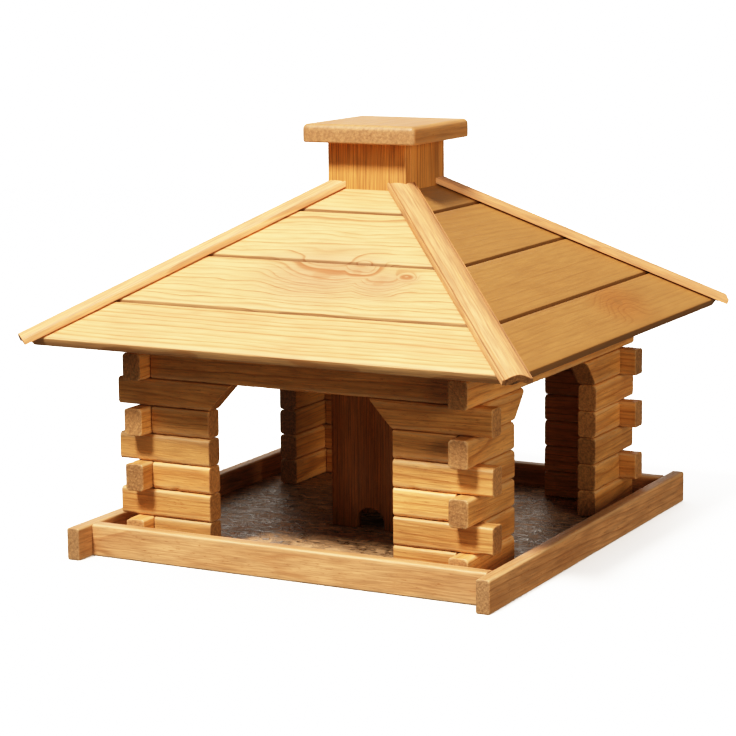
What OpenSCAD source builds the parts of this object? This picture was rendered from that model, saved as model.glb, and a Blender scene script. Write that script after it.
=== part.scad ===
// Log-cabin style bird feeder: a shallow tray, four corner posts of stacked strips,
// a planked pyramid roof and a central seed column that rises through it as a chimney.
// Origin: centre of the tray's underside, +Z up, -Y is the front.

/* [Tray] */
// Width over the side rails, along X
tray_w = 396; // [390:1:430]
// Length of the side rails, along Y
tray_d = 428; // [420:1:460]
// How far the front and back rails stand in from the side rails' ends
rail_set_in = 20; // [12:1:24]
// Thickness of the rails
rail_t = 12; // [8:1:14]
// Height of the rails
rail_h = 28; // [20:1:34]
// Thickness of the floor sheet
floor_t = 8; // [6:1:12]

/* [Corner posts] */
// Distance over the posts' outer faces, both ways
post_span = 324; // [316:1:330]
// Thickness of a strip, seen from above
log_w = 18; // [16:1:20]
// Height of a strip, which is the spacing of the courses
log_h = 24; // [22:1:25]
// Length of a strip that runs through the corner
log_len = 90; // [80:1:100]
// How far a strip runs out past the corner
log_out = 15; // [10:1:18]
// Radius along the strips' edges
log_soft = 3.5; // [2:0.5:5]
// How much further the corbelled course reaches at its top
corbel = 22; // [14:1:24]
// Hairline gap where one strip butts another
butt_gap = 0.3; // [0.1:0.1:1]

/* [Seed column] */
// Width over the column's boards, both ways
silo_w = 75; // [70:1:80]
// Thickness of the column's boards
silo_t = 10; // [8:0.5:12]
// Height of the column's top above the tray's underside
silo_top = 347; // [345:1:360]
// Width of a seed outlet
outlet_w = 28; // [20:1:32]
// Height of a seed outlet above the floor
outlet_h = 19; // [17:1:26]

/* [Roof] */
// Width over the eaves, both ways
roof_w = 450; // [440:1:460]
// Height of the eaves' upper edge
eave_z = 192; // [190:1:196]
// Height where the boards meet the column
ridge_z = 307; // [300:1:312]
// Thickness of the roof boards
board_t = 9; // [7:0.5:10]
// Width of the lowest board, measured up the slope
eave_board = 53; // [45:1:60]
// Width that each full board covers, measured up the slope
board_cover = 67; // [60:1:70]
// Width of the bevel along each board's lower edge
bevel_w = 3.5; // [2:0.5:5]
// Depth of the bevel along each board's lower edge
bevel_d = 3; // [1:0.5:4]
// Hairline gap between two boards where they meet on a hip
mitre_gap = 0.4; // [0.2:0.1:1]

/* [Hip strips and hip plates] */
// Width of the strips that cover the hips
hip_w = 25; // [20:1:30]
// Height of a hip strip's sides
hip_h = 9; // [7:0.5:10]
// Width of the part of a hip strip that beds on the boards
hip_bed = 16; // [10:1:18]
// How far a hip strip runs past the eave corner
hip_out = 5; // [0:1:10]
// Radius of a hip strip's upper edges
hip_soft = 3; // [2:0.5:4]
// Thickness of the plates under the hips
plate_t = 12; // [9:1:18]
// Height of the plates under the hips
plate_d = 56; // [45:1:58]

/* [Cap] */
// Width of the cap, both ways
cap_w = 108; // [96:1:116]
// Thickness of the cap
cap_t = 16; // [12:1:20]
// Radius of the cap's upper edges
cap_soft = 5; // [2:0.5:7]
// Depth of the locating block under the cap
block_d = 14; // [8:1:20]
// Clearance between the locating block and the column, each side
block_gap = 1; // [0.5:0.1:2]
// Gap left under the cap where it rests on the column
cap_gap = 0.3; // [0.2:0.05:0.5]

/* [Hidden] */

courses = 6;
segs = 4;
big = 600;

post_x = post_span / 2;
log_x = post_x - log_w / 2;
butt_x = post_x - log_w - butt_gap;
out_x = post_x + log_out;
in_x = out_x - log_len;
ring_z = floor_t + courses * log_h;
plate_seat_z = ring_z + log_h;

side_x = tray_w / 2;
side_in_x = side_x - rail_t;
rail_y = tray_d / 2 - rail_set_in;
rail_in_y = rail_y - rail_t;
rail_soft = 1.5;

silo_x = silo_w / 2;
silo_in = silo_x - silo_t;

eave_x = roof_w / 2;
pitch = atan((ridge_z - eave_z) / (eave_x - silo_x));
slope_len = (eave_x - silo_x) / cos(pitch);
foot_s = slope_len - board_t * tan(pitch);
edge_soft = 1;
joints = [0, eave_board, eave_board + board_cover, eave_board + 2 * board_cover, slope_len];
top_board = len(joints) - 1;

eave_r = eave_x * sqrt(2);
silo_r = silo_x * sqrt(2);
hip_pitch = atan(tan(pitch) / sqrt(2));
hip_top = hip_h - hip_bed / 2 * sin(hip_pitch);
plate_past = 4;
plate_seat = 32;
plate_foot = 6;
plate_out_r = post_x * sqrt(2) + plate_past;
board_drop = board_t / cos(pitch);

SIDES = ["front", "right", "back", "left"];
HIPS = ["front_right", "back_right", "back_left", "front_left"];
CORNERS = [["front_left", -1, -1], ["front_right", 1, -1], ["back_left", -1, 1], ["back_right", 1, 1]];

POST_NODES = [for (c = CORNERS) for (k = [1 : courses]) str("post_", c[0], "_course_", k)];
ROOF_NODES = [for (s = SIDES) for (b = [1 : top_board - 1]) str("roof_", s, "_board_", b)];
HIP_NODES = [for (h = HIPS) str("hip_strip_", h)];
PLATE_NODES = [for (h = HIPS) str("hip_plate_", h)];

// ---- outlines -------------------------------------------------------------------------

function arc(cx, cy, r, from, to) =
    [for (i = [0 : segs]) let (a = from + (to - from) * i / segs) [cx + r * cos(a), cy + r * sin(a)]];

function soft_rect(w, h, r) = concat(
    arc(w / 2 - r, h / 2 - r, r, 0, 90),
    arc(r - w / 2, h / 2 - r, r, 90, 180),
    arc(r - w / 2, r - h / 2, r, 180, 270),
    arc(w / 2 - r, r - h / 2, r, 270, 360)
);

// Square below, rounded above, with its underside on the axis
function slab(w, h, r) = concat(
    [[-w / 2, 0], [w / 2, 0]],
    arc(w / 2 - r, h - r, r, 0, 90),
    arc(r - w / 2, h - r, r, 90, 180)
);

// A point of the front slope as [y, z]: s is up the slope from the eave, n is out of the face
function on_slope(s, n) = [
    -eave_x + s * cos(pitch) - n * sin(pitch),
    eave_z + s * sin(pitch) + n * cos(pitch)
];

// ---- placing --------------------------------------------------------------------------

// An outline in Y and Z, drawn out along X
module along_x(x0, x1) {
    translate([x0, 0, 0])
        rotate([90, 0, 90])
            linear_extrude(x1 - x0)
                children();
}

// An outline in X and Z, drawn out along Y
module along_y(y0, y1) {
    translate([0, y1, 0])
        rotate([90, 0, 0])
            linear_extrude(y1 - y0)
                children();
}

module bar_x(x0, x1, y, z, w, h, r) {
    translate([0, y, z])
        along_x(x0, x1)
            polygon(soft_rect(w, h, r));
}

module bar_y(y0, y1, x, z, w, h, r) {
    translate([x, 0, z])
        along_y(y0, y1)
            polygon(soft_rect(w, h, r));
}

// Moves what is drawn for the back right corner to the corner on the sides sx and sy
module in_corner(sx, sy) {
    if (sx < 0 && sy < 0) rotate([0, 0, 180]) children();
    else if (sx < 0) mirror([1, 0, 0]) children();
    else if (sy < 0) mirror([0, 1, 0]) children();
    else children();
}

// The space that the seed column fills
module silo_space() {
    linear_extrude(big)
        square(silo_w, center = true);
}

// ---- tray -----------------------------------------------------------------------------

module floor_board() {
    color("#6E5A45")
        translate([-side_in_x, -rail_in_y, 0])
            cube([2 * side_in_x, 2 * rail_in_y, floor_t]);
}

module side_rail(side) {
    color("#B87A3E")
        bar_y(-tray_d / 2, tray_d / 2, side * (side_x - rail_t / 2), rail_h / 2, rail_t, rail_h, rail_soft);
}

module cross_rail(side) {
    color("#B87A3E")
        bar_x(-side_in_x, side_in_x, side * (rail_y - rail_t / 2), rail_h / 2, rail_t, rail_h, rail_soft);
}

// ---- corner posts ---------------------------------------------------------------------

// The side view of a corbelled strip: its inner end leans inwards as it rises
module corbel_outline(z) {
    polygon([
        [in_x, z],
        [in_x - corbel, z + log_h],
        [big, z + log_h],
        [big, z]
    ]);
}

// Strip along X of the back right corner, from its inner end to x1
module log_x_run(course, x1) {
    z = floor_t + (course - 1) * log_h;
    if (course == courses)
        intersection() {
            bar_x(in_x - corbel, x1, log_x, z + log_h / 2, log_w, log_h, log_soft);
            along_y(0, big)
                corbel_outline(z);
        }
    else
        bar_x(in_x, x1, log_x, z + log_h / 2, log_w, log_h, log_soft);
}

// Strip along Y of the back right corner, from its inner end to y1
module log_y_run(course, y1) {
    z = floor_t + (course - 1) * log_h;
    if (course == courses)
        intersection() {
            bar_y(in_x - corbel, y1, log_x, z + log_h / 2, log_w, log_h, log_soft);
            along_x(0, big)
                corbel_outline(z);
        }
    else
        bar_y(in_x, y1, log_x, z + log_h / 2, log_w, log_h, log_soft);
}

// One course of one post: two strips that butt, taking turns to run through
module post_course(corner, course) {
    y_runs = course % 2 == 1;
    color(y_runs ? "#C08B4E" : "#B57F44")
        in_corner(corner[1], corner[2]) {
            log_x_run(course, y_runs ? butt_x : out_x);
            log_y_run(course, y_runs ? out_x : butt_x);
        }
}

module side_beam(side) {
    color("#A87238")
        bar_y(-out_x, out_x, side * log_x, ring_z + log_h / 2, log_w, log_h, log_soft);
}

module cross_beam(side) {
    color("#A87238")
        bar_x(-butt_x, butt_x, side * log_x, ring_z + log_h / 2, log_w, log_h, log_soft);
}

// ---- seed column ----------------------------------------------------------------------

// An arch-topped outlet cut through a board that faces the front
module outlet() {
    r = outlet_w / 2;
    translate([0, 0, floor_t + outlet_h - r])
        rotate([90, 0, 0])
            cylinder(h = big, r = r, center = true, $fn = 64);
    translate([-r, -big / 2, floor_t - 1])
        cube([outlet_w, big, outlet_h - r + 1]);
}

// side is -1 for the front board and 1 for the back one
module silo_face_board(side) {
    color("#C48A4C")
        difference() {
            translate([-silo_x, side < 0 ? -silo_x : silo_in, floor_t])
                cube([silo_w, silo_t, silo_top - floor_t]);
            outlet();
        }
}

// side is -1 for the left board and 1 for the right one
module silo_side_board(side) {
    color("#BC8244")
        difference() {
            translate([side < 0 ? -silo_x : silo_in, -silo_in, floor_t])
                cube([silo_t, 2 * silo_in, silo_top - floor_t]);
            rotate([0, 0, 90])
                outlet();
        }
}

// ---- roof -----------------------------------------------------------------------------

// The wedge, seen from above, that the front slope fills between two hips
module front_wedge() {
    apex = mitre_gap / sqrt(2);
    linear_extrude(big)
        polygon([[0, -apex], [big, -big - apex], [-big, -big - apex]]);
}

// Everything below the underside of the front boards
module under_front_boards() {
    lean = on_slope(-board_cover, -board_t);
    rise = on_slope(slope_len, -board_t);
    along_x(-big, big)
        polygon([lean, rise, [rise[0], 0], [lean[0], 0]]);
}

// Board b of the front slope, 1 at the eave
module front_board(b) {
    s0 = joints[b - 1];
    s1 = joints[b];
    lower = b == 1
        ? [on_slope(s0, -edge_soft), on_slope(s0 + edge_soft, 0)]
        : [on_slope(s0, -bevel_d), on_slope(s0 + bevel_w, 0)];
    upper = b == top_board
        ? [on_slope(s1, 0), on_slope(foot_s, -board_t)]
        : [on_slope(s1 - edge_soft, 0), on_slope(s1, -edge_soft), on_slope(s1, -board_t)];
    intersection() {
        along_x(-big, big)
            polygon(concat([on_slope(s0, -board_t)], lower, upper));
        front_wedge();
    }
}

module roof_board(side, b) {
    color(side % 2 == 0 ? "#DDB36B" : "#C0893F")
        rotate([0, 0, 90 * side])
            front_board(b);
}

// The four short boards against the column
module roof_top_boards() {
    for (side = [0 : 3])
        roof_board(side, top_board);
}

// Cross-section of a hip strip: bedded on both slopes, relieved at its edges
function hip_outline() = concat(
    [
        [0, 0],
        [hip_bed / 2, -hip_bed / 2 * sin(hip_pitch)],
        [hip_w / 2, -hip_bed / 2 * sin(hip_pitch)]
    ],
    arc(hip_w / 2 - hip_soft, hip_top - hip_soft, hip_soft, 0, 90),
    arc(hip_soft - hip_w / 2, hip_top - hip_soft, hip_soft, 90, 180),
    [
        [-hip_w / 2, -hip_bed / 2 * sin(hip_pitch)],
        [-hip_bed / 2, -hip_bed / 2 * sin(hip_pitch)]
    ]
);

// h counts the hips anticlockwise from the front right one
module hip_strip(h) {
    inner = (eave_r - silo_r + hip_w) / cos(hip_pitch);
    color("#D6A868")
        difference() {
            rotate([0, 0, 90 * h - 45])
                translate([eave_r, 0, eave_z])
                    rotate([0, hip_pitch, 0])
                        along_x(-inner, hip_out)
                            polygon(hip_outline());
            silo_space();
        }
}

// Plate on edge under a hip: seated on the ring of beams, notched round the column
module hip_plate(h) {
    seat_in_r = plate_out_r - plate_seat;
    low_z = eave_z + tan(hip_pitch) * (eave_r - silo_r) - board_drop - plate_d;
    color("#A98555")
        difference() {
            intersection() {
                rotate([0, 0, 90 * h - 45])
                    translate([0, plate_t / 2, 0])
                        rotate([90, 0, 0])
                            linear_extrude(plate_t)
                                polygon([
                                    [silo_r - plate_t, low_z],
                                    [silo_r + plate_foot, low_z],
                                    [seat_in_r, plate_seat_z],
                                    [plate_out_r, plate_seat_z],
                                    [plate_out_r, big],
                                    [silo_r - plate_t, big]
                                ]);
                rotate([0, 0, 90 * h])
                    under_front_boards();
                rotate([0, 0, 90 * h + 90])
                    under_front_boards();
            }
            silo_space();
        }
}

// ---- cap ------------------------------------------------------------------------------

module cap_board() {
    color("#C7904F")
        translate([0, 0, silo_top + cap_gap])
            intersection() {
                along_x(-cap_w / 2, cap_w / 2)
                    polygon(slab(cap_w, cap_t, cap_soft));
                along_y(-cap_w / 2, cap_w / 2)
                    polygon(slab(cap_w, cap_t, cap_soft));
            }
}

module cap_block() {
    half = silo_in - block_gap;
    color("#B98A55")
        translate([-half, -half, silo_top + cap_gap - block_d])
            cube([2 * half, 2 * half, block_d]);
}

// ---- the nodes ------------------------------------------------------------------------

floor_board();
side_rail(-1);  // rail_left
side_rail(1);  // rail_right
cross_rail(-1);  // rail_front
cross_rail(1);  // rail_back

for (c = CORNERS)
    for (k = [1 : courses])
        post_course(c, k);

side_beam(-1);  // beam_left
side_beam(1);  // beam_right
cross_beam(-1);  // beam_front
cross_beam(1);  // beam_back

silo_face_board(-1);  // silo_board_front
silo_face_board(1);  // silo_board_back
silo_side_board(-1);  // silo_board_left
silo_side_board(1);  // silo_board_right

for (h = [0 : 3])
    hip_plate(h);

for (s = [0 : 3])
    for (b = [1 : top_board - 1])
        roof_board(s, b);

roof_top_boards();

for (h = [0 : 3])
    hip_strip(h);

cap_board();
cap_block();
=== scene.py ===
"""Log-cabin style bird feeder: tray, stacked corner posts, planked roof, seed column and cap.

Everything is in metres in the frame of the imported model. The classes take their own sizes in
millimetres, because that is how the timber is cut, and MM turns them into metres at one place.
"""

import logging
import math
import random
from dataclasses import dataclass, field, replace
from enum import Enum
from typing import Callable, Sequence

import bmesh
import bpy
from mathutils import Matrix, Vector, noise


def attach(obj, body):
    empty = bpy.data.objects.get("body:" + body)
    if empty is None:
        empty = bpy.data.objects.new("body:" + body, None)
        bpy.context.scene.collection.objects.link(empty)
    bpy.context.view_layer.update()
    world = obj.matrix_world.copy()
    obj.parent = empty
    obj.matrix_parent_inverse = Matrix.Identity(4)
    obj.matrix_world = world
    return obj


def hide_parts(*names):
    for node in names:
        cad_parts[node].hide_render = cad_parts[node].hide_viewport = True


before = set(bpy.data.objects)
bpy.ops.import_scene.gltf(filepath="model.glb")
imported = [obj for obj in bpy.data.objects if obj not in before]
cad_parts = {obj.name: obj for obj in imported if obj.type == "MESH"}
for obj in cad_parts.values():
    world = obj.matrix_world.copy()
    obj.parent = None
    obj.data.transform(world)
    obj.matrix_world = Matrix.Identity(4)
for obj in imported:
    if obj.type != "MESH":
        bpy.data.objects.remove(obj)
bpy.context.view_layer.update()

MM = 0.001
HOUSE = "house"
CAP = "cap"
SHARP = math.radians(38)  # faces that meet at more than this keep a sharp edge
QUARTER_TURNS = ((1, 1), (-1, 1), (-1, -1), (1, -1))  # the corners of a square, anticlockwise

Tree = bpy.types.NodeTree
Socket = bpy.types.NodeSocket
Pair = tuple[float, float]
Triple = tuple[float, float, float]

logging.basicConfig(level=logging.INFO, format="%(name)s: %(message)s")
log = logging.getLogger("bird_feeder")


# ---- colours and nodes ----


def linear(hex_colour: str) -> tuple[float, float, float, float]:
    """Turns an sRGB hex colour into the linear values that the shader mixes.

    Args:
        hex_colour: Six hex digits, with or without the leading #.

    Returns:
        Linear red, green and blue, and an alpha of 1.
    """
    digits = hex_colour.lstrip("#")
    out = []
    for k in range(0, 6, 2):
        c = int(digits[k : k + 2], 16) / 255
        out.append(c / 12.92 if c <= 0.04045 else ((c + 0.055) / 1.055) ** 2.4)
    return out[0], out[1], out[2], 1.0


def add(
    tree: Tree, kind: str, links: dict | tuple = (), out: int | str = 0, **settings: object
) -> Socket | None:
    """Adds one node with its settings and its links.

    Args:
        tree: The node tree that it goes into.
        kind: The node's type, without the word that every shader node's type starts with, and
            after a space its operation, if it has one.
        links: The socket or plain value that feeds each input, in order or by name or number.
        out: Name or number of the output that is wanted.
        settings: The node's own properties.

    Returns:
        That output, whose node is the new node, or None from a node that has no outputs.
    """
    kind, _, operation = kind.partition(" ")
    node = tree.nodes.new("ShaderNode" + kind)
    if operation:
        node.operation = operation
    for key, value in settings.items():
        setattr(node, key, value)
    for key, source in links.items() if isinstance(links, dict) else enumerate(links):
        if isinstance(source, Socket):
            tree.links.new(source, node.inputs[key])
        else:
            node.inputs[key].default_value = source
    return node.outputs[out] if node.outputs else None


def cleared(owner: bpy.types.Material | bpy.types.World) -> Tree:
    """Switches a material or world to nodes and empties its tree.

    Args:
        owner: The material or world.

    Returns:
        Its empty node tree.
    """
    owner.use_nodes = True
    owner.node_tree.nodes.clear()
    return owner.node_tree


# ---- finishes ----


@dataclass(frozen=True)
class Softwood:
    """Spruce or pine, planed or sawn, under a honey-coloured glaze.

    The figure is solid: growth rings stand round a pith that each plank carries in its "grain"
    attribute, in millimetres, so the same log shows long lines on a face, arcs on an end and
    pointed arches where a board runs out of a ring.
    """

    name: str
    early: str  # colour of the wide, soft early wood
    late: str  # colour of the hard late wood that ends each ring
    deep: str  # colour where the glaze sank in, in knots and in resin ticks
    end: str  # colour of end grain
    worn: str  # colour of rubbed arrises
    ring_mm: float = 3.0  # width of a ring
    contrast: float = 0.6  # how far late wood goes towards its colour
    blotch: float = 0.35  # how much the glaze's uneven take-up shows
    wander_mm: float = 5.0  # how far the rings sway
    sway_mm: Pair = (150.0, 38.0)  # over what length along and what width across they sway
    curl_mm: float = 0.0  # how far the fibres curl
    fibre_mm: float = 1.5  # width of a fibre streak, coarser than real ones, which wouldn't show
    fibre_long_mm: float = 30.0  # its length
    fibre: float = 0.16  # how much the streaks show
    speck: float = 0.3  # how much the resin ticks show
    roughness: float = 0.52
    unevenness: float = 0.08  # how far the roughness varies with the fibres
    coat: float = 0.12  # weight of the glaze's own gloss
    relief_mm: float = 0.16  # height of the raised grain
    knots: tuple[Triple, ...] = ((0.0, 0.0, 1.0),)  # place along and across, and size, of each
    heart: float = 1.0  # how dark the hearts of the knots are
    blush: str = "#DE9560"  # colour of the wood round a knot
    painted_shade: str = "#6E4018"  # colour of the painted shade in seams and recesses

    def make(self) -> bpy.types.Material:
        """Builds the procedural material.

        Returns:
            The material, which any plank with the timber attributes can wear.
        """
        material = bpy.data.materials.new(self.name)
        tree = cleared(material)
        grain, knot, wear = (
            add(tree, "Attribute", out="Vector", attribute_name=name)
            for name in ("grain", "knot", "wear")
        )
        late, beside = self._rings(tree, grain, knot)
        texture = self._fibres(tree, grain)
        fibre, specks, _, _ = texture
        colour = self._colour(tree, late, beside, texture, knot, wear)
        dull, bright = self.roughness + self.unevenness, self.roughness - self.unevenness
        ridges = add(tree, "Math MULTIPLY_ADD", (late, 0.45, fibre))
        pits = add(tree, "Math MULTIPLY_ADD", (specks, -0.7, ridges))
        relief = {"Strength": 0.6, "Distance": self.relief_mm * MM, "Height": pits}
        shader = {
            "Base Color": colour,
            "Roughness": add(tree, "MapRange", (fibre, 0.0, 1.0, dull, bright)),
            "Normal": add(tree, "Bump", relief), "IOR": 1.5, "Coat Weight": self.coat,
            "Coat Roughness": 0.38,
        }
        add(tree, "OutputMaterial", {"Surface": add(tree, "BsdfPrincipled", shader)})
        return material

    def _rings(self, tree: Tree, grain: Socket, knot: Socket) -> tuple[Socket, Socket]:
        """Growth rings that bend round the knots.

        Args:
            tree: The material's node tree.
            grain: Place in the log in mm, its long axis first.
            knot: Place beside the knot point in mm, and the plank's tone.

        Returns:
            How much late wood there is, and how far the nearest knot is, in mm of a knot of size 1.
        """
        knot_sway, knot_stretch, merge_mm = 9.0, 0.66, 1.5
        near_mm, far_mm, swell_mm = 4.0, 34.0, 17.0  # how rings part round a knot
        drift_size_mm, drift_mm = 11.0, 9.0  # how ring widths vary from year to year
        along, across = (1 / reach for reach in self.sway_mm)
        sway = add(tree, "VectorMath MULTIPLY", (grain, (along, across, across)))
        sway = {"Vector": sway, "Scale": 1.0, "Detail": 2.5, "Roughness": 0.45}
        sway = add(tree, "TexNoise", sway, out="Color")
        sway = add(tree, "VectorMath SUBTRACT", (sway, (0.5, 0.5, 0.5)))
        push = (0.0, 2 * self.wander_mm, 2 * self.wander_mm)
        swayed = add(tree, "VectorMath MULTIPLY_ADD", (sway, push, grain))
        swayed = add(tree, "VectorMath MULTIPLY", (swayed, (0, 1, 1)))
        radius = add(tree, "VectorMath LENGTH", (swayed,), out="Value")
        push = (knot_sway, knot_sway, 0)
        loose = add(tree, "VectorMath MULTIPLY_ADD", (sway, push, knot))
        beside = None
        for along, side, size in self.knots:
            spot = add(tree, "VectorMath SUBTRACT", (loose, (along, side, 0)))
            shape = (knot_stretch / size, 1 / size, 0)
            spot = add(tree, "VectorMath MULTIPLY", (spot, shape))
            away = add(tree, "VectorMath LENGTH", (spot,), out="Value")
            if beside is not None:
                away = add(tree, "Math SMOOTH_MIN", (away, beside, merge_mm))
            beside = away
        swell = (beside, near_mm, far_mm, swell_mm, 0.0)
        swell = add(tree, "MapRange", swell, interpolation_type="SMOOTHERSTEP")
        bent = add(tree, "Math ADD", (radius, swell))
        drift = {"W": bent, "Scale": 1 / drift_size_mm, "Detail": 1.0}
        drift = add(tree, "TexNoise", drift, noise_dimensions="1D")
        count = add(tree, "Math MULTIPLY_ADD", (drift, drift_mm, bent))
        count = add(tree, "Math DIVIDE", (count, self.ring_mm))
        ring = add(tree, "Math FLOOR", (count,))
        vary = add(tree, "TexWhiteNoise", {"W": ring}, noise_dimensions="1D")
        vary = add(tree, "MapRange", (vary, 0.0, 1.0, 0.35, 1.0))
        ramp = add(tree, "ValToRGB", {"Fac": add(tree, "Math FRACT", (count,))})
        stops = ramp.node.color_ramp.elements
        stops[0].color, stops[1].color = (0.12, 0.12, 0.12, 1.0), (0.0, 0.0, 0.0, 1.0)
        for place, value in ((0.14, 0.0), (0.5, 0.1), (0.7, 0.32), (0.86, 1.0), (0.95, 0.8)):
            stops.new(place).color = (value, value, value, 1.0)
        return add(tree, "Math MULTIPLY", (ramp, vary)), beside

    def _fibres(self, tree: Tree, grain: Socket) -> tuple[Socket, ...]:
        """Long fibres, short resin ticks, the glaze's uneven take-up and the speckle of ends.

        Args:
            tree: The material's node tree.
            grain: Place in the log in mm, its long axis first.

        Returns:
            Fibre streaks, ticks, patches and speckle, each from 0 to 1.
        """
        curl_size_mm = 13
        if self.curl_mm:
            curl = {"Vector": grain, "Scale": 1 / curl_size_mm}
            curl = add(tree, "TexNoise", curl, out="Color")
            curl = (curl, (2 * self.curl_mm,) * 3, grain)
            grain = add(tree, "VectorMath MULTIPLY_ADD", curl)
        # length and width in mm, then the part of the noise that shows
        clouds = (
            (self.fibre_long_mm, self.fibre_mm, 0.34, 0.66), (6.0, 1.1, 0.6, 0.74),
            (75.0, 24.0, 0.38, 0.72), (2.4, 2.4, 0.36, 0.62),
        )
        out = []
        for long, wide, low, high in clouds:
            size = (1 / long, 1 / wide, 1 / wide)
            place = add(tree, "VectorMath MULTIPLY", (grain, size))
            cloud = {"Vector": place, "Scale": 1.0, "Detail": 2.5, "Roughness": 0.6}
            out.append(add(tree, "MapRange", (add(tree, "TexNoise", cloud), low, high)))
        return tuple(out)

    def _colour(
        self, tree: Tree, late: Socket, beside: Socket, texture: tuple[Socket, ...], knot: Socket,
        wear: Socket,
    ) -> Socket:
        """Glazed colour of the wood.

        Args:
            tree: The material's node tree.
            late: Late wood, from 0 to 1.
            beside: How far the nearest knot is.
            texture: Fibre streaks, ticks, patches and speckle, from 0 to 1.
            knot: Attribute whose third part is the plank's tone.
            wear: Attribute of end grain, worn arris and painted shade.

        Returns:
            The colour socket.
        """
        fibre, specks, patches, speckle = texture
        parts = add(tree, "SeparateXYZ", (wear,)).node.outputs
        end, rub, painted_shade = (parts[axis] for axis in "XYZ")
        tone = add(tree, "SeparateXYZ", (knot,), out="Z")
        soft = "SMOOTHSTEP"
        heart = add(tree, "MapRange", (beside, 3.0, 5.6, 1.0, 0.0), interpolation_type=soft)
        halo = add(tree, "MapRange", (beside, 5.0, 44.0, 0.85, 0.0), interpolation_type=soft)
        crisp = add(tree, "Math MULTIPLY_ADD", (halo, 0.25, self.contrast))
        lines = add(tree, "Math MULTIPLY", (late, crisp), use_clamp=True)
        heart = add(tree, "Math MULTIPLY", (heart, self.heart))
        dark = add(tree, "Math MULTIPLY_ADD", (specks, self.speck, heart), use_clamp=True)
        # each layer's cover, what it is multiplied by, and its colour
        layers = (
            (halo, None, self.blush),
            (patches, self.blotch, self.deep),
            (lines, None, self.late),
            (dark, 0.7, self.deep),
            (end, 0.65, self.end),
            (rub, fibre, self.worn),
            # painted shade: seams, recesses and the column's foot take a darker colour
            (painted_shade, 0.6, self.painted_shade),
        )
        colour = linear(self.early)
        for cover, factor, over in layers:
            if factor is not None:
                cover = add(tree, "Math MULTIPLY", (cover, factor))
            mix = {0: cover, 6: colour, 7: linear(over)}
            colour = add(tree, "Mix", mix, out=2, data_type="RGBA")
        streak = (fibre, 0.0, 1.0, 1.0 + self.fibre, 1.0 - self.fibre)
        streak = add(tree, "MapRange", streak)
        shade = add(tree, "Math MULTIPLY_ADD", (tone, 0.16, 1.0))
        # the painted shade also darkens them further
        shade = add(tree, "Math MULTIPLY_ADD", (painted_shade, -0.25, shade))
        pores = add(tree, "Math MULTIPLY", (speckle, end))
        pores = add(tree, "Math MULTIPLY_ADD", (pores, -0.3, shade))
        level = add(tree, "Math MULTIPLY", (streak, pores))
        return add(tree, "VectorMath SCALE", {0: colour, "Scale": level})


# Spruce cladding, planed smooth: pale and creamy, with fine dark lines and a satin glaze.
ROOF_WOOD = Softwood(
    name="glazed_spruce_planed_cladding", early="#EDBC80", late="#A96A34", deep="#DE9C6A",
    end="#A9713A", worn="#F3CC9A", ring_mm=5.4, contrast=0.8, blotch=0.6, fibre=0.12,
    roughness=0.5,
)
# The same cladding with a cluster of knots: rosy wood and pale loops round them.
KNOTTY_ROOF_WOOD = replace(
    ROOF_WOOD, name="glazed_spruce_planed_cladding_knotty", late="#A06034", deep="#A8693C",
    wander_mm=6.0, sway_mm=(70.0, 20.0), blotch=0.15,
    knots=((-31, 1, 1.3), (0, 9, 0.7), (24, -5, 0.75), (46, 4, 0.35)), heart=0.4, blush="#CB9A72",
)
# The same cladding, darker and browner, for the left and right slopes: painted shade, since these
# slopes lie in less light than the front and back. The figure shows only faintly.
SHADED_SIDE_ROOF_WOOD = replace(
    ROOF_WOOD, name="glazed_spruce_twice_coated_cladding", early="#AC7D47", late="#7F5026",
    deep="#946434", worn="#B68A52", contrast=0.3, blotch=0.35, fibre=0.06, speck=0.2,
    relief_mm=0.08, blush="#A66B36",
)
# Spruce strips with run-over arrises: more figure, rubbed pale along the edges.
LOG_WOOD = Softwood(
    name="glazed_spruce_rounded_strips", early="#DCA364", late="#9C5E2B", deep="#9E602C",
    end="#A87C56", worn="#ECC08C", ring_mm=4.2, contrast=0.7, blotch=0.5, fibre=0.18,
    speck=0.95, roughness=0.54, relief_mm=0.24,
)
# Spruce rails, planed: long straight grain with short dark ticks and grey tan ends.
RAIL_WOOD = Softwood(
    name="glazed_spruce_planed_rails", early="#D29E6E", late="#965F36", deep="#935C30",
    end="#A27D58", worn="#E6BC8C", ring_mm=3.6, contrast=0.6, blotch=0.5, fibre=0.19, speck=1.0,
    roughness=0.55, relief_mm=0.2,
)
# Spruce moulding run through a cutter: very straight, close grain and a faint ripple.
HIP_WOOD = Softwood(
    name="glazed_spruce_moulded_strips", early="#E6A570", late="#A96A3A", deep="#BA7C46",
    end="#84603C", worn="#EEC293", ring_mm=3.4, contrast=0.7, blotch=0.35, fibre=0.28,
    speck=0.5, roughness=0.52,
)
# Pine boards of the column: redder, with close vertical lines, and a deep red-brown for the painted
# shade towards their feet.
COLUMN_WOOD = Softwood(
    name="glazed_pine_planed_column", early="#DC9A55", late="#7E4518", deep="#95551F",
    end="#8E5A2C", worn="#E2AA6C", painted_shade="#5E2A10", ring_mm=2.6, contrast=0.75, blotch=0.4,
    fibre_mm=1.2, fibre_long_mm=60.0, fibre=0.3, roughness=0.5,
)
# Pine cap with moulded edges: end grain drinks the glaze and shows specks.
CAP_WOOD = Softwood(
    name="glazed_pine_rounded_cap", early="#C9935E", late="#9A6232", deep="#985E30",
    end="#C2946C", worn="#E6B988", ring_mm=4.5, contrast=0.5, blotch=0.35, speck=0.8,
    roughness=0.5,
)
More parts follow.
